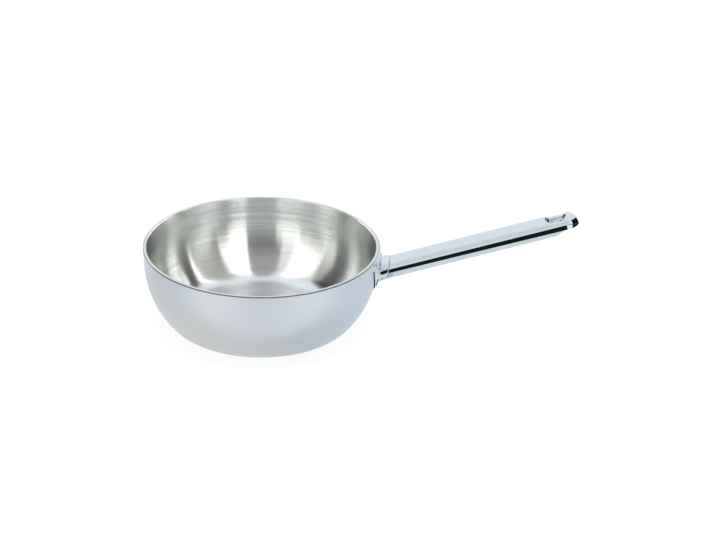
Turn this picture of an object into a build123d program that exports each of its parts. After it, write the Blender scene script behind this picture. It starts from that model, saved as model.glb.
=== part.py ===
from build123d import *
from math import asin, atan2, cos, degrees, hypot, radians, sin, sqrt, tan
import os

# A round-sided pan of clad steel with one long tubular handle, in millimetres.
# The origin is on the pan's axis, on the surface that it stands on.
# +X runs along the handle, +Z up, and the handle lies in the XZ plane.

# Clad wall: five bonded sheets, from the cooking side outwards
skin_sheet = 0.5
bond_sheet = 0.2
core_sheet = 1.6
base_skin_sheet = 0.5

# Bowl outside
rim_radius = 103.0
bowl_height = 74.0
collar_height = 15.0
collar_draft = 2.7
base_setback = 39.0
heel_radius = 24.0
rim_bevel = 0.35

# Handle line, in the XZ plane
handle_tilt = 15.6
handle_axis_height = 21.8
handle_reach = 286.5

# Handle tube
tube_diameter = 19.4
tube_wall = 1.2
nose_length = 11.0
nose_drop = 2.3
nose_angles = [0, 14, 28, 42, 55, 67, 79]

# Oblique underside of the handle's end, closed by a bent plate
ramp_start = 25.8
ramp_angle = 33.0
sole_depth = 2.6
sole_bend_radius = 7.0
plate_sheet = 1.2

# Hanging slot and its lining, drawn in all round the mouth
slot_length = 18.6
slot_width = 9.4
slot_setback = 19.0
liner_sheet = 1.2
liner_mouth_radius = 2.0
liner_land = 0.3
liner_lip_depth = 4.9
mouth_shares = [0, 0.5, 1]

# Bracket that carries the handle on the bowl's wall
flange_thickness = 1.2
flange_rim_gap = 1.1
flange_half_width = 36.2
flange_waist_half_width = 15.5
flange_waist_drop = 36.0
flange_toe_drop = 41.0
flange_side_radius = 56.0
flange_corner_radius = 1.2
flange_toe_corner_radius = 6.0
flange_edge_radius = 0.4
neck_length = 8.6
neck_spread = 4.7
spigot_length = 14.0
spigot_clearance = 0.05
spigot_root = 3.8

# Neck outline from the tube's end to below the flange's face: share of its length, share of its spread
neck_shares = [
    (1, 0.05),
    (0.84, 0.15),
    (0.67, 0.21),
    (0.51, 0.26),
    (0.37, 0.31),
    (0.28, 0.36),
    (0.21, 0.42),
    (0.15, 0.51),
    (-0.06, 1),
]

# Weld between the neck and the tube, and the spot welds behind the flange
weld_gap = 0.5
weld_recess = 0.25
spot_diameter = 4.6
spot_depth = 0.8
spot_edge_margin = 6.0
spot_drop_shares = [0.1, 0.32, 0.76]

# Length by which cutting solids run past what they cut
overrun = 5.0


# Bowl profile, worked out from the sizes above
wall_thickness = skin_sheet + bond_sheet + core_sheet + bond_sheet + base_skin_sheet
base_flat_radius = rim_radius - base_setback
draft = radians(collar_draft)
collar_foot = (rim_radius - collar_height * tan(draft), bowl_height - collar_height)
heel_centre = (base_flat_radius, heel_radius)

# The flank's arc is tangent to the collar at its foot and to the heel's arc
across = collar_foot[0] - heel_centre[0]
upward = collar_foot[1] - heel_centre[1]
inward = -cos(draft) * across + sin(draft) * upward
flank_radius = (heel_radius**2 - across**2 - upward**2) / (2 * inward + 2 * heel_radius)
flank_centre = (
    collar_foot[0] - flank_radius * cos(draft),
    collar_foot[1] + flank_radius * sin(draft),
)
heel_angle = degrees(
    atan2(heel_centre[1] - flank_centre[1], heel_centre[0] - flank_centre[0])
)


# Points and curves of the wall at one depth below the outer surface
def wall_curve(depth):
    Line((0, depth), (base_flat_radius, depth))
    CenterArc(heel_centre, heel_radius - depth, -90, heel_angle + 90)
    CenterArc(flank_centre, flank_radius - depth, heel_angle, -collar_draft - heel_angle)
    Line(collar_point(depth), rim_point(depth))


def collar_point(depth):
    return (collar_foot[0] - depth * cos(draft), collar_foot[1] + depth * sin(draft))


def rim_point(depth):
    return (rim_radius - depth / cos(draft), bowl_height)


# Sheet of the wall between two depths, all round the pan's axis
def bowl_sheet(outer_depth, inner_depth):
    with BuildSketch(Plane.XZ) as section:
        with BuildLine():
            wall_curve(outer_depth)
            wall_curve(inner_depth)
            Line(rim_point(outer_depth), rim_point(inner_depth))
            Line((0, outer_depth), (0, inner_depth))
        make_face()
    revolve(section.sketch, axis=Axis.Z)


# Bowl radius at a height on the flank, on the outer surface
def flank_radius_at(height):
    rise = height - flank_centre[1]
    return flank_centre[0] + sqrt(flank_radius**2 - rise**2)


# Handle planes: across the tube, along it seen from the side, and along it seen from above
tilt = radians(handle_tilt)
along = Vector(cos(tilt), 0, sin(tilt))
upright = Vector(-sin(tilt), 0, cos(tilt))
axis_origin = Vector(0, 0, handle_axis_height)
across_tube = Plane(axis_origin, x_dir=upright, z_dir=along)
beside_tube = Plane(axis_origin, x_dir=along, z_dir=(0, -1, 0))
tube_axis = Axis(axis_origin, along)

tube_radius = tube_diameter / 2
bore_radius = tube_radius - tube_wall
nose_start = handle_reach - nose_length
slot_centre = handle_reach - slot_setback

# Where the mouth's rounding meets the tube's surface beside the slot, and the seam beyond it
mouth_half_width = tube_radius * (slot_width / 2 + liner_mouth_radius) / (tube_radius - liner_mouth_radius)
liner_flare = mouth_half_width - slot_width / 2 + liner_land
liner_lip_height = tube_radius - liner_lip_depth
above_slot = Plane(axis_origin + along * slot_centre, x_dir=along, z_dir=upright)

# The neck ends in a plane parallel to the wall where the handle's line meets it
neck_height = handle_axis_height + rim_radius * tan(tilt)
wall_lean = degrees(asin((flank_centre[1] - neck_height) / flank_radius))
wall_out = Vector(cos(radians(wall_lean)), 0, -sin(radians(wall_lean)))
neck_foot = Vector(flank_radius_at(neck_height), 0, neck_height)
neck_end = Plane(neck_foot + wall_out * neck_length, x_dir=(0, 1, 0), z_dir=wall_out)
tube_end = neck_end.offset(weld_gap)
neck_start = hypot(neck_foot.X, neck_foot.Z - handle_axis_height)


# Rod along the handle's line that ends in a drooping round nose
def nosed_rod(start, radius, nose):
    with BuildSketch(across_tube.offset(start)) as disc:
        Circle(radius)
    extrude(disc.sketch, amount=nose_start - start)
    sections = []
    for turn in nose_angles:
        share = cos(radians(turn))
        station = across_tube.offset(nose_start + nose * sin(radians(turn)))
        with BuildSketch(station) as ring:
            with Locations((-nose_drop * (1 - share), 0)):
                Circle(radius * share)
        sections.append(ring.sketch)
    tip = across_tube.offset(nose_start + nose).from_local_coords((-nose_drop, 0, 0))
    sections.append(Vertex(tip.X, tip.Y, tip.Z))
    loft(sections=sections)


# Underside line of the handle's end, at one height above the plate's outer face
def sole_line(lift):
    turn = radians(ramp_angle)
    bend = (
        ramp_foot + (tube_radius - sole_depth) / tan(turn) - lift * tan(turn / 2),
        lift - sole_depth,
    )
    below = (bend[0] - 2 * tube_radius / tan(turn), bend[1] - 2 * tube_radius)
    beyond = (handle_reach + overrun, lift - sole_depth)
    FilletPolyline(below, bend, beyond, radius=sole_bend_radius + lift)
    return below, beyond


ramp_foot = handle_reach - ramp_start


# Filled shapes that the pieces are cut from and trimmed with
with BuildPart() as bowl_envelope:
    with BuildSketch(Plane.XZ):
        with BuildLine():
            wall_curve(0)
            Line(rim_point(0), (0, bowl_height))
            Line((0, bowl_height), (0, 0))
        make_face()
    revolve(axis=Axis.Z)

with BuildPart() as below_sole:
    with BuildSketch(beside_tube):
        with BuildLine():
            low, far = sole_line(0)
            Polyline(low, (far[0], low[1]), far)
        make_face()
    extrude(amount=tube_radius + overrun, both=True)

with BuildPart() as handle_envelope:
    nosed_rod(neck_start, tube_radius, nose_length)
    add(below_sole.part, mode=Mode.SUBTRACT)

with BuildPart() as bore_envelope:
    nosed_rod(neck_start, bore_radius, nose_length - tube_wall)


# Bowl: five sheets bonded face to face, cut straight at the rim
with BuildPart() as outer_skin:
    bowl_sheet(0, base_skin_sheet)
    outer_rim = outer_skin.edges().filter_by(GeomType.CIRCLE).group_by(Axis.Z)[-1].sort_by(SortBy.RADIUS)[-1]
    chamfer(outer_rim, rim_bevel)

outer_bond_depth = base_skin_sheet + bond_sheet
core_depth = outer_bond_depth + core_sheet
inner_bond_depth = core_depth + bond_sheet

with BuildPart() as outer_bond_sheet:
    bowl_sheet(base_skin_sheet, outer_bond_depth)

with BuildPart() as heat_core:
    bowl_sheet(outer_bond_depth, core_depth)

with BuildPart() as inner_bond_sheet:
    bowl_sheet(core_depth, inner_bond_depth)

with BuildPart() as cooking_skin:
    bowl_sheet(inner_bond_depth, wall_thickness)
    inner_rim = cooking_skin.edges().filter_by(GeomType.CIRCLE).group_by(Axis.Z)[-1].sort_by(SortBy.RADIUS)[0]
    fillet(inner_rim, rim_bevel)


# Neck of the bracket: oblique ellipses on the handle's line, spreading to the flange
lean = tilt + radians(wall_lean)
neck_sections = []
for length_share, spread_share in neck_shares:
    height = length_share * neck_length
    spread = spread_share * neck_spread
    with BuildSketch(Plane(neck_foot + along * (height / cos(lean)), x_dir=(0, 1, 0), z_dir=wall_out)) as section:
        Ellipse(tube_radius + spread, tube_radius / cos(lean) + spread)
    neck_sections.append(section.sketch)

with BuildPart() as neck:
    loft(sections=neck_sections)
    add(bowl_envelope.part, mode=Mode.SUBTRACT)

# Flange outline as seen along the handle: wide under the rim, drawn in to a blunt toe
flange_top = bowl_height - flange_rim_gap
waist_height = bowl_height - flange_waist_drop
toe_height = bowl_height - flange_toe_drop

with BuildPart() as flange:
    bowl_sheet(-flange_thickness, 0)
    with BuildSketch(Plane.YZ):
        with BuildLine():
            Line((0, flange_top), (flange_half_width, flange_top))
            RadiusArc(
                (flange_half_width, flange_top),
                (flange_waist_half_width, waist_height),
                flange_side_radius,
            )
            Line((flange_waist_half_width, waist_height), (0, toe_height))
            mirror(about=Plane.YZ)
        make_face()
        fillet(vertices().group_by(Axis.Y)[-1], flange_corner_radius)
        toe = vertices().group_by(Axis.Y)
        fillet(toe[0] + toe[1], flange_toe_corner_radius)
    extrude(amount=rim_radius + overrun, mode=Mode.INTERSECT)
    front = [flange.faces().filter_by(kind).sort_by(Axis.X)[-1] for kind in (GeomType.CONE, GeomType.REVOLUTION)]
    fillet(set(front[0].edges()) ^ set(front[1].edges()), flange_edge_radius)

# Half width of the flange at a drop below its top edge, along its drawn-in side
chord = (flange_half_width - flange_waist_half_width, flange_waist_drop - flange_rim_gap)
chord_length = hypot(*chord)
sag = sqrt(flange_side_radius**2 - (chord_length / 2) ** 2)
side_centre = (
    flange_half_width - chord[0] / 2 + sag * chord[1] / chord_length,
    chord[1] / 2 + sag * chord[0] / chord_length,
)


def flange_half_width_at(drop):
    return side_centre[0] - sqrt(flange_side_radius**2 - (side_centre[1] - drop) ** 2)


# Spot welds between the flange and the wall, in two mirrored rows and one at the toe
with BuildPart() as bracket_spot_welds:
    bowl_sheet(-spot_depth, 0)
    with BuildSketch(Plane.YZ):
        with Locations((0, toe_height + spot_edge_margin)):
            Circle(spot_diameter / 2)
        for drop_share in spot_drop_shares:
            drop = drop_share * (flange_waist_drop - flange_rim_gap)
            with Locations((flange_half_width_at(drop) - spot_edge_margin, flange_top - drop)):
                Circle(spot_diameter / 2)
        mirror(about=Plane.YZ)
    extrude(amount=rim_radius + overrun, mode=Mode.INTERSECT)

# Bracket: flange and neck in one piece, with a stub inside the tube and a pocket at each spot weld
with BuildPart() as handle_bracket:
    add(flange.part)
    add(neck.part)
    with BuildSketch(across_tube.offset(neck_start + spigot_root)):
        Circle(bore_radius - spigot_clearance)
    extrude(amount=neck_length - spigot_root + spigot_length)
    add(bracket_spot_welds.part, mode=Mode.SUBTRACT)

# Ring of weld metal between the neck and the tube, ground just below their surface
with BuildPart() as neck_weld:
    with BuildSketch(across_tube.offset(neck_start)):
        Circle(tube_radius - weld_recess)
        Circle(bore_radius, mode=Mode.SUBTRACT)
    extrude(amount=2 * neck_length)
    split(bisect_by=neck_end, keep=Keep.TOP)
    split(bisect_by=tube_end, keep=Keep.BOTTOM)


# Hanging slot: where the lining runs, and the hole that is left
def slot_prism(growth, bottom, top):
    with BuildSketch(above_slot.offset(bottom)) as outline:
        SlotOverall(slot_length + 2 * growth, slot_width + 2 * growth)
    extrude(outline.sketch, amount=top - bottom)


# Whether an edge runs round the hole on the handle's upper side
def rims_mouth(edge):
    straight = (slot_length - slot_width) / 2
    for share in mouth_shares:
        spot = above_slot.to_local_coords(edge @ share)
        aside = hypot(max(abs(spot.X) - straight, 0), spot.Y)
        if spot.Z < 0 or aside > (slot_width + liner_sheet) / 2:
            return False
    return True


with BuildPart() as liner_space:
    slot_prism(liner_sheet, -tube_diameter, liner_lip_height)
    slot_prism(liner_flare, liner_lip_height, tube_diameter)

with BuildPart() as slot_space:
    slot_prism(0, -tube_diameter, tube_diameter)

with BuildPart() as slot_liner:
    add(handle_envelope.part)
    add(liner_space.part, mode=Mode.INTERSECT)
    add(slot_space.part, mode=Mode.SUBTRACT)
    fillet(slot_liner.edges().filter_by(rims_mouth), liner_mouth_radius)

with BuildPart() as handle_tube:
    add(handle_envelope.part)
    add(bore_envelope.part, mode=Mode.SUBTRACT)
    add(liner_space.part, mode=Mode.SUBTRACT)
    split(bisect_by=tube_end, keep=Keep.TOP)

# Bent plate that closes the underside, inside the tube's wall
with BuildPart() as end_plate:
    with BuildSketch(beside_tube):
        with BuildLine():
            low, far = sole_line(0)
            low_inside, far_inside = sole_line(plate_sheet)
            Line(low, low_inside)
            Line(far, far_inside)
        make_face()
    extrude(amount=tube_radius, both=True)
    add(bore_envelope.part, mode=Mode.INTERSECT)
    add(liner_space.part, mode=Mode.SUBTRACT)


# Each piece is exported under its own name
pieces = {
    "cooking_skin": cooking_skin,
    "inner_bond_sheet": inner_bond_sheet,
    "heat_core": heat_core,
    "outer_bond_sheet": outer_bond_sheet,
    "outer_skin": outer_skin,
    "handle_bracket": handle_bracket,
    "bracket_spot_welds": bracket_spot_welds,
    "neck_weld": neck_weld,
    "handle_tube": handle_tube,
    "end_plate": end_plate,
    "slot_liner": slot_liner,
}
os.makedirs("parts", exist_ok=True)
for name, piece in pieces.items():
    piece.part.label = name
    export_step(piece.part, f"parts/{name}.step")
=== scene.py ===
from math import cos, radians, sin, tan

import bpy
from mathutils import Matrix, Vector


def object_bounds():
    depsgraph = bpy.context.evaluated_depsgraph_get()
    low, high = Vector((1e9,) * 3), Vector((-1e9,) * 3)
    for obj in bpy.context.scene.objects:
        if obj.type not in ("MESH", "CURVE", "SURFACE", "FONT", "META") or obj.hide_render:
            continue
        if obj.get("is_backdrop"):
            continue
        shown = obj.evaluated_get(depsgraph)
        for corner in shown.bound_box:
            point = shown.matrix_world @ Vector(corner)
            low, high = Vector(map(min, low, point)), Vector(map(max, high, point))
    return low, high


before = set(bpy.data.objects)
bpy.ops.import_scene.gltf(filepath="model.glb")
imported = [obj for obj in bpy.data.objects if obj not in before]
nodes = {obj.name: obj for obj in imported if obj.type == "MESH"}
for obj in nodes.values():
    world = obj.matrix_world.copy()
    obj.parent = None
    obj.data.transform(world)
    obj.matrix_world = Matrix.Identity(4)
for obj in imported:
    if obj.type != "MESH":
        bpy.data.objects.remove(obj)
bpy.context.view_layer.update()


def sRgb(red, green, blue):  # colour as read on screen, 0 to 255, to scene values
    return tuple(
        (v / 255 / 12.92 if v / 255 <= 0.04045 else ((v / 255 + 0.055) / 1.055) ** 2.4)
        for v in (red, green, blue)
    )


# shader maths: a Wire is a socket that can be added, multiplied and so on
class Wire:
    def __init__(self, nodeTree, socket):
        self.nodeTree = nodeTree
        self.socket = socket

    def maths(self, operation, *others):
        return self.nodeTree.node("ShaderNodeMath", {"operation": operation}, [self, *others])

    def mathsAfter(self, operation, other):  # with the other value first
        return self.nodeTree.node("ShaderNodeMath", {"operation": operation}, [other, self])

    def __add__(self, other):
        return self.maths("ADD", other)

    def __radd__(self, other):
        return self.mathsAfter("ADD", other)

    def __sub__(self, other):
        return self.maths("SUBTRACT", other)

    def __rsub__(self, other):
        return self.mathsAfter("SUBTRACT", other)

    def __mul__(self, other):
        return self.maths("MULTIPLY", other)

    def __rmul__(self, other):
        return self.mathsAfter("MULTIPLY", other)

    def __truediv__(self, other):
        return self.maths("DIVIDE", other)

    def __rtruediv__(self, other):
        return self.mathsAfter("DIVIDE", other)

    def clamped(self, low, high):
        return self.maths("MAXIMUM", low).maths("MINIMUM", high)


class NodeTree:  # the nodes of a material or of the world, all made by one method
    def __init__(self, tree):
        self.tree = tree

    def fill(self, socket, value):
        if isinstance(value, Wire):
            self.tree.links.new(value.socket, socket)
        elif socket.type == "RGBA" and len(value) == 3:
            socket.default_value = (*value, 1)
        else:
            socket.default_value = value

    def node(self, kind, settings, inputs, output=0):
        made = self.tree.nodes.new(kind)
        for name, value in settings.items():
            if name == "stops":
                elements = made.color_ramp.elements
                for place, colour in value:
                    elements.new(place).color = (*sRgb(*colour), 1)
                elements.remove(elements[0])  # the two that a new ramp has at its ends
                elements.remove(elements[-1])
            else:
                setattr(made, name, value)
        for key, value in inputs.items() if isinstance(inputs, dict) else enumerate(inputs):
            self.fill(made.inputs[key], value)
        return Wire(self, made.outputs[output]) if len(made.outputs) else None


class Finish(NodeTree):  # one material, with its Principled shader ready
    smallestRadius = 0.0005  # near the pan's axis the marks take this one

    def __init__(self, name, **settings):
        self.material = bpy.data.materials.new(name)
        self.material.use_nodes = True
        super().__init__(self.material.node_tree)
        self.shader = self.tree.nodes["Principled BSDF"]
        for socket, value in settings.items():
            self.set(socket.replace("_", " "), value)
        self.place = self.node("ShaderNodeTexCoord", {}, [], "Object")

    def set(self, socket, value):
        self.fill(self.shader.inputs[socket], value)

    def parts(self, vector):  # the three numbers of a vector
        split = self.node("ShaderNodeSeparateXYZ", {}, [vector])
        return [Wire(self, output) for output in split.socket.node.outputs]

    def noise(self, vector, scale, detail, roughness):
        return self.node(
            "ShaderNodeTexNoise",
            {"noise_dimensions": "3D"},
            {"Vector": vector, "Scale": scale, "Detail": detail, "Roughness": roughness},
        )

    def marks(self, around, across, detail, roughness):  # noise drawn out in rings round the pan's axis
        x, y, z = self.parts(self.place)
        radius = (x * x + y * y).maths("SQRT")
        safe = radius.maths("MAXIMUM", self.smallestRadius)
        place = [x / safe * around, y / safe * around, (radius + z) * across]
        return self.noise(self.node("ShaderNodeCombineXYZ", {}, place), 1.0, detail, roughness)

    def above(self, level, distance):  # 0 below a level, rising to 1 over a distance
        return ((self.parts(self.place)[2] - level) / distance).clamped(0, 1)

    def blend(self, amount, first, second):
        inputs = {0: amount, 6: first, 7: second}  # the factor and the two colours
        return self.node("ShaderNodeMix", {"data_type": "RGBA"}, inputs, 2)

    def bump(self, height, strength, distance):
        inputs = {"Strength": strength, "Distance": distance, "Height": height}
        self.set("Normal", self.node("ShaderNodeBump", {}, inputs))


print("camera")
view = {
    "rimCentre": (0, 0, 0.074),
    "rimPixel": (261.25, 245.18),
    "imageSize": (716, 540),
    "distance": 2.575,
    "elevation": 25.23,
    "pixelsPerMetre": 1148.3,
    "sensorWidth": 36,
    "clip": (0.05, 50),
}
rimCentre = Vector(view["rimCentre"])
lift = radians(view["elevation"])
backward = Vector((0, -cos(lift), sin(lift)))
imageWidth, imageHeight = view["imageSize"]
offset = Vector((view["rimPixel"][0] - imageWidth / 2, imageHeight / 2 - view["rimPixel"][1]))
focalPixels = view["pixelsPerMetre"] * view["distance"]
aim = Vector((offset.x, offset.y, -focalPixels)).normalized()
cameraData = bpy.data.cameras.new("camera")
cameraData.sensor_width = view["sensorWidth"]
cameraData.lens = focalPixels * -aim.z * view["sensorWidth"] / imageWidth
cameraData.clip_start, cameraData.clip_end = view["clip"]
camera = bpy.data.objects.new("camera", cameraData)
bpy.context.scene.collection.objects.link(camera)
camera.rotation_mode = "QUATERNION"
camera.location = rimCentre + backward * view["distance"]
turn = aim.rotation_difference(Vector((0, 0, -1)))  # puts the rim's centre at its own pixel
camera.rotation_quaternion = (-backward).to_track_quat("-Z", "Y") @ turn
bpy.context.scene.camera = camera


print("finishes")
# brush marks: how fast they change along their line, how many to a metre across it, detail, roughness
# bump: strength and distance
inside = {
    "lines": (1.5, 1300, 2.0, 0.6),
    "grooves": (0.5, 620, 1.0, 0.5),
    "broad": (2.0, 160, 2.0, 0.5),
    "lineDepth": 0.9,
    "grooveDepth": 0.35,
    "bottomHeight": 0.004,
    "bottomDepth": 0.15,  # share of the marks' depth that is left on the bottom
    "deepen": 0.03,  # height above the bottom at which they reach their full depth
    "bend": 0.008,  # and at which the colour is the wall's own
    "wallColours": (sRgb(185, 188, 186), sRgb(246, 248, 245)),
    "bottomColours": (sRgb(207, 213, 220), sRgb(240, 246, 252)),
    "roughness": 0.145,
    "lineRoughness": 0.06,
    "broadRoughness": 0.02,
    "bump": (0.2, 0.00003),
}
insideFinish = Finish("insideSatin", Metallic=1.0, Anisotropic=1.0, Anisotropic_Rotation=0.25)
lines = insideFinish.marks(*inside["lines"])
grooves = insideFinish.marks(*inside["grooves"])
broad = insideFinish.marks(*inside["broad"])
depth = insideFinish.above(inside["bottomHeight"], inside["deepen"]).maths("MAXIMUM", inside["bottomDepth"])
pattern = inside["lineDepth"] * (lines - 0.5) + inside["grooveDepth"] * (grooves - 0.5)
brushed = (0.5 + depth * pattern).clamped(0, 1)
wall = insideFinish.blend(brushed, *inside["wallColours"])
bottom = insideFinish.blend(brushed, *inside["bottomColours"])
rise = insideFinish.above(inside["bottomHeight"], inside["bend"])
insideFinish.set("Base Color", insideFinish.blend(rise, bottom, wall))
lined = inside["roughness"] + inside["lineRoughness"] * lines
insideFinish.set("Roughness", lined + inside["broadRoughness"] * broad)
insideFinish.bump(lines, *inside["bump"])

outside = {
    "lines": (1.2, 1500, 3.0, 0.6),
    "colours": (sRgb(188, 193, 197), sRgb(200, 205, 208)),
    "paintedRimReflectionHeight": 0.0729,  # painted reflection: a dark line just under the rim, standing in for the rim bevel mirroring dark
    "paintedRimReflectionEdge": 0.0002,
    "paintedRimReflectionColour": sRgb(96, 102, 106),
    "roughness": 0.38,
    "lineRoughness": 0.08,
    "bump": (0.15, 0.00003),
}
outsideFinish = Finish("outsideSatin", Metallic=1.0)
lines = outsideFinish.marks(*outside["lines"])
# painted reflection: the dark line under the rim is painted into the outer skin's colour by height
paintedRimReflection = outsideFinish.above(outside["paintedRimReflectionHeight"], outside["paintedRimReflectionEdge"])
skin = outsideFinish.blend(lines, *outside["colours"])
outsideFinish.set("Base Color", outsideFinish.blend(paintedRimReflection, skin, outside["paintedRimReflectionColour"]))
outsideFinish.set("Roughness", outside["roughness"] + outside["lineRoughness"] * lines)
outsideFinish.bump(lines, *outside["bump"])

core = {
    "lines": (1.5, 4000, 2.0, 0.6),
    "colours": (sRgb(216, 219, 219), sRgb(240, 242, 242)),
    "roughness": 0.3,
    "lineRoughness": 0.1,
}
coreFinish = Finish("cutCore", Metallic=1.0)
lines = coreFinish.marks(*core["lines"])
coreFinish.set("Base Color", coreFinish.blend(lines, *core["colours"]))
coreFinish.set("Roughness", core["roughness"] + core["lineRoughness"] * lines)

# haze and grain: scale, detail, roughness
polished = {
    "haze": (90.0, 4.0, 0.6),
    "colours": (sRgb(208, 217, 225), sRgb(218, 227, 235)),
    "roughness": 0.003,  # so low that its rays count as singular, which the cards below ask for
    "bump": (0.05, 0.00002),
}
polishedFinish = Finish("polishedSteel", Metallic=1.0, Roughness=polished["roughness"])
haze = polishedFinish.noise(polishedFinish.place, *polished["haze"])
polishedFinish.set("Base Color", polishedFinish.blend(haze, *polished["colours"]))
polishedFinish.bump(haze, *polished["bump"])

weld = {
    "grain": (2500.0, 3.0, 0.6),
    "colours": (sRgb(120, 122, 124), sRgb(180, 182, 184)),
    "roughness": 0.3,
    "grainRoughness": 0.2,
    "bump": (0.3, 0.00005),
}
weldFinish = Finish("groundWeld", Metallic=1.0)
grain = weldFinish.noise(weldFinish.place, *weld["grain"])
weldFinish.set("Base Color", weldFinish.blend(grain, *weld["colours"]))
weldFinish.set("Roughness", weld["roughness"] + weld["grainRoughness"] * grain)
weldFinish.bump(grain, *weld["bump"])

nodeFinishes = {
    "cooking_skin": insideFinish,
    "inner_bond_sheet": coreFinish,
    "heat_core": coreFinish,
    "outer_bond_sheet": coreFinish,
    "outer_skin": outsideFinish,
    "handle_bracket": polishedFinish,
    "bracket_spot_welds": weldFinish,
    "neck_weld": weldFinish,
    "handle_tube": polishedFinish,
    "end_plate": polishedFinish,
    "slot_liner": polishedFinish,
}
for name, finish in nodeFinishes.items():
    nodes[name].data.materials.clear()
    nodes[name].data.materials.append(finish.material)


print("studio")
bpy.context.scene.view_settings.view_transform = "Standard"
studio = {
    "worldLight": 0.75,  # on matt things; metal and the eye see 1
    "middle": (0, 0, 0.05),  # the panels stand round it
    "cardDistance": 1.76,
    # panels that the satin metal mirrors: their sides at the bottom and at the top, turned from the
    # camera's side in degrees, then bottom, top, colour and brightness
    "panels": [
        ("rightSoftbox", (15, 48), (20, 48), 7, 70, (255, 255, 252), 1.8),
        ("leftSoftbox", (-38, -21), (-38, -28), 9, 70, (252, 253, 255), 1.0),
        ("leftSoftboxWide", (-74, -38), (-74, -38), -1.5, 70, (255, 255, 252), 1.9),
        ("leftOuter", (-74, -64), (-74, -66), -2, 60, (255, 255, 250), 2.6),
        ("cameraSide", (-21, 15), (-24, 16.5), -2, 26, (72, 70, 72), 1.0),
        ("cameraSideHigh", (-24, 16.5), (-28, 20), 26, 82, (180, 180, 182), 1.0),
        ("rightGap", (48, 58), (48, 58), -2, 16, (112, 114, 112), 1.0),
        ("rightGapHigh", (48, 58), (50, 60), 16, 82, (184, 184, 180), 1.0),
        ("rightMiddle", (58, 81), (58, 83), -2, 18, (170, 170, 164), 1.0),
        ("rightMiddleHigh", (58, 83), (60, 91), 18, 70, (192, 192, 186), 1.0),
        ("rightStreak", (82, 85.5), (98, 102), 10, 60, (255, 255, 250), 3.2),
        ("rightDark", (80, 92), (90, 102), -2, 28, (2, 3, 3), 1.0),
        ("rightDarkHigh", (94, 118), (96, 122), 28, 43, (80, 82, 80), 1.0),
        ("rightBeige", (99, 150), (105, 150), 0, 28, (255, 254, 246), 4.6),
        ("leftMiddle", (-87, -74), (-87, -74), -2, 12, (250, 250, 240), 1.2),
        ("leftMiddleHigh", (-89, -74), (-89, -74), 12, 70, (205, 206, 198), 1.0),
        ("leftDark", (-106, -87), (-113, -89), -2, 28, (2, 3, 3), 1.0),
        ("leftDarkHigh", (-124, -89), (-130, -89), 28, 52, (4, 5, 5), 1.0),
        ("leftBeige", (-150, -109), (-150, -121), 0, 28, (255, 254, 246), 4.8),
        ("back", (150, 210), (150, 210), 10, 33, (228, 233, 240), 1.0),
    ],
}
middle = Vector(studio["middle"])
reach = studio["cardDistance"]


def standing(centre, angles):  # corners of an upright card, each turned and raised from there in degrees
    return [
        centre + reach * Vector((sin(radians(turned)), -cos(radians(turned)), tan(radians(raised))))
        for turned, raised in angles
    ]


def lying(spots, height):  # corners of a card on the floor
    return [Vector((*spot, height)) for spot in spots]


# a card's light, seen in polished or in satin metal alone; its colour is one colour or, with an axis
# of the card, the colours along it, each with its place from 0 to 1
def glow(name, colour, brightness, seenBy, axis=None, direct=False):
    material = bpy.data.materials.new(name)
    material.use_nodes = True
    material.node_tree.nodes.clear()
    made = NodeTree(material.node_tree)
    if axis:
        place = made.node("ShaderNodeTexCoord", {}, [], "Generated")
        along = made.node("ShaderNodeSeparateXYZ", {}, [place], axis)
        tint = made.node("ShaderNodeValToRGB", {"stops": colour}, [along])
    else:
        tint = sRgb(*colour)
    light = made.node("ShaderNodeEmission", {}, {"Color": tint, "Strength": brightness})
    clear = made.node("ShaderNodeBsdfTransparent", {}, [])
    seen = made.node("ShaderNodeLightPath", {}, [], "Is Singular Ray")
    if direct:  # in the first mirror image, not in an image of an image
        seen = seen * made.node("ShaderNodeLightPath", {}, [], "Ray Depth").maths("LESS_THAN", 2)
    pair = (clear, light) if seenBy == "polished" else (light, clear)
    made.node("ShaderNodeOutputMaterial", {}, [made.node("ShaderNodeMixShader", {}, [seen, *pair])])
    return material


def card(name, corners, material):  # a flat card that only metal sees, its corners in turn round it
    bpy.ops.object.select_all(action="DESELECT")
    bpy.ops.mesh.primitive_plane_add(size=1)
    made = bpy.context.object
    made.name = name
    first, second, third, fourth = corners
    for vertex, corner in zip(made.data.vertices, (first, second, fourth, third)):  # a plane's go by rows
        vertex.co = corner
    made.data.materials.append(material)
    made.visible_camera = made.visible_diffuse = made.visible_shadow = False
    made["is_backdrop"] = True


world = bpy.data.worlds.new("studioWorld")
bpy.context.scene.world = world
world.use_nodes = True
sky = NodeTree(world.node_tree)
cameraRay, glossyRay, transmissionRay = [
    sky.node("ShaderNodeLightPath", {}, [], ray)
    for ray in ("Is Camera Ray", "Is Glossy Ray", "Is Transmission Ray")
]
seen = cameraRay.maths("MAXIMUM", glossyRay).maths("MAXIMUM", transmissionRay)
background = world.node_tree.nodes["Background"]
sky.fill(background.inputs["Strength"], studio["worldLight"] + (1 - studio["worldLight"]) * seen)
sky.fill(background.inputs["Color"], (1, 1, 1))

for name, low, high, bottom, top, colour, brightness in studio["panels"]:
    angles = ((low[0], bottom), (low[1], bottom), (high[1], top), (high[0], top))
    card(name, standing(middle, angles), glow(name, colour, brightness, "satin"))

# lamp overhead, for the matt floor and the pan's shadow on it
keyLight = {"size": 1.4, "power": 30, "place": (0.1, 0, 2.2)}
lamp = bpy.data.lights.new("keyLamp", "AREA")
lamp.size = keyLight["size"]
lamp.energy = keyLight["power"]
keyLamp = bpy.data.objects.new("keyLamp", lamp)
bpy.context.scene.collection.objects.link(keyLamp)
keyLamp.location = keyLight["place"]
keyLamp.visible_glossy = False

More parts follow.
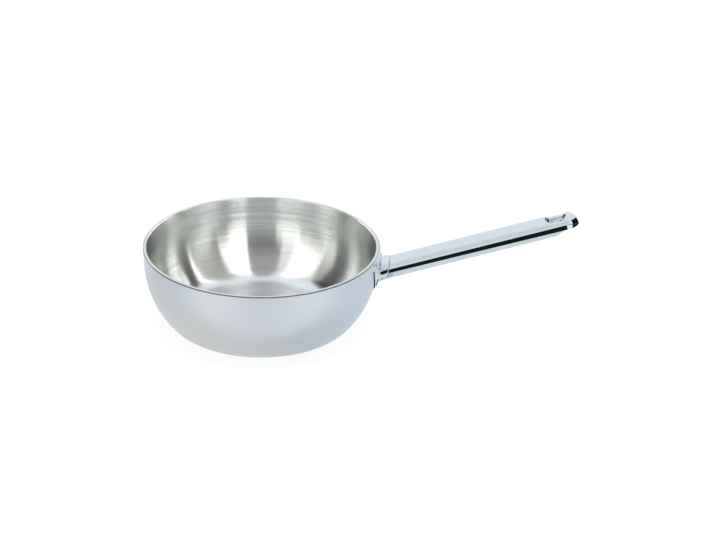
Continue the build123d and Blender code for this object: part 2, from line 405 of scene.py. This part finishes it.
# cloths and screens that only the polished handle mirrors
handle = {
    "tilt": 15.6,
    "axisStart": (0, 0, 0.0218),
    "nose": (0.277, 0, 0.1),
    "dark": (18, 20, 22),
    "clothHeight": 0.0005,
    # corners along the handle's line, and how far below the level the tube mirrors them, in degrees
    "bandCloth": (((0.1, 37), (0.276, 51), (0.276, 2), (0.1, 2)), (24, 33, 32)),
    "underCloth": (((0.1, 150), (0.33, 150), (0.33, 51), (0.1, 37)), (235, 242, 238)),
    # dark things to the right of the nose and a low strip in front of it, turned and raised from it
    "sideScreen": ((51, -3.2), (138, -3.2), (138, 8), (51, 40)),
    "lowStrip": ((3, -3.2), (51, -3.2), (51, 2), (3, 2)),
    # dark cloths on the floor, to the right of the handle's end and in front of the flange
    "sideCloth": ((0.338, -0.06), (1.6, -1.15), (1.4, 1.2), (0.338, 0.05)),
    "flangeCloth": ((0.085, -0.068), (0.125, -0.068), (0.125, 0), (0.085, 0)),
    # pale screen on the camera's side, a little darker low down
    "frontScreen": ((-30, 2), (30, 2), (30, 62), (-30, 62)),
    "frontColours": (
        (0.02, (250, 250, 250)), (0.1, (234, 234, 234)), (0.3, (235, 235, 235)), (0.8, (255, 255, 255)),
    ),
}
tilt = radians(handle["tilt"])
along = Vector((cos(tilt), 0, sin(tilt)))
below = Vector((sin(tilt), 0, -cos(tilt)))


def mirroredFloor(place, angle):  # where the tube mirrors the floor, seen from the camera
    point = Vector(handle["axisStart"]) + along * place
    slide = (point - camera.location).normalized().dot(along)
    turned = radians(angle)
    direction = Vector((0, -1, 0)) * cos(turned) + below * sin(turned) + along * slide
    return point + direction * ((handle["clothHeight"] - point.z) / direction.z)


for name in ("bandCloth", "underCloth"):
    spots, colour = handle[name]
    corners = [mirroredFloor(*spot) for spot in spots]
    card(name, corners, glow(name, colour, 1.0, "polished", direct=True))
for name in ("sideScreen", "lowStrip"):
    corners = standing(Vector(handle["nose"]), handle[name])
    card(name, corners, glow(name, handle["dark"], 1.0, "polished"))
for name in ("sideCloth", "flangeCloth"):
    corners = lying(handle[name], handle["clothHeight"])
    card(name, corners, glow(name, handle["dark"], 1.0, "polished"))
corners = standing(middle, handle["frontScreen"])
card("frontScreen", corners, glow("frontScreen", handle["frontColours"], 1.0, "polished", axis="Z"))

# the floor's own tint, which the satin wall mirrors, from left to right: nearTint lies under the pan
# and beside it, farTint between the pan and the camera
tints = {
    "height": 0.0004,
    "left": -0.5,
    "right": 0.6,
    "nearTint": {
        "edges": (-0.11, 0.1),
        "brightness": 1.15,
        "colours": (
            (0.02, (214, 224, 240)), (0.25, (228, 233, 240)), (0.38, (240, 238, 234)),
            (0.45, (236, 236, 234)), (0.49, (224, 228, 231)), (0.53, (226, 233, 241)),
            (0.6, (234, 243, 252)), (0.98, (240, 248, 255)),
        ),
    },
    "farTint": {
        "edges": (-0.5, -0.11),
        "brightness": 1.42,
        "colours": (
            (0.02, (206, 218, 236)), (0.2, (227, 233, 242)), (0.345, (245, 245, 246)),
            (0.45, (224, 226, 230)), (0.56, (243, 244, 248)), (0.68, (246, 250, 255)),
            (0.98, (240, 248, 255)),
        ),
    },
}
left, right = tints["left"], tints["right"]
for name in ("nearTint", "farTint"):
    tint = tints[name]
    front, back = tint["edges"]
    corners = lying(((left, front), (right, front), (right, back), (left, back)), tints["height"])
    card(name, corners, glow(name, tint["colours"], tint["brightness"], "satin", axis="X"))

# white floor that keeps the pan's soft shadow
ground = {"size": 12, "shade": 0.17, "glow": 0.87}
bpy.ops.object.select_all(action="DESELECT")
bpy.ops.mesh.primitive_plane_add(size=ground["size"], location=(0, 0, 0))
floor = bpy.context.object
floor.name = "floor"
paper = Finish("paleFloor", Base_Color=(ground["shade"],) * 3, Roughness=1.0, Specular_IOR_Level=0.0)
paper.set("Emission Color", (1.0, 1.0, 1.0))
paper.set("Emission Strength", ground["glow"])
floor.data.materials.append(paper.material)
floor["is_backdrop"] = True

low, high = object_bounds()
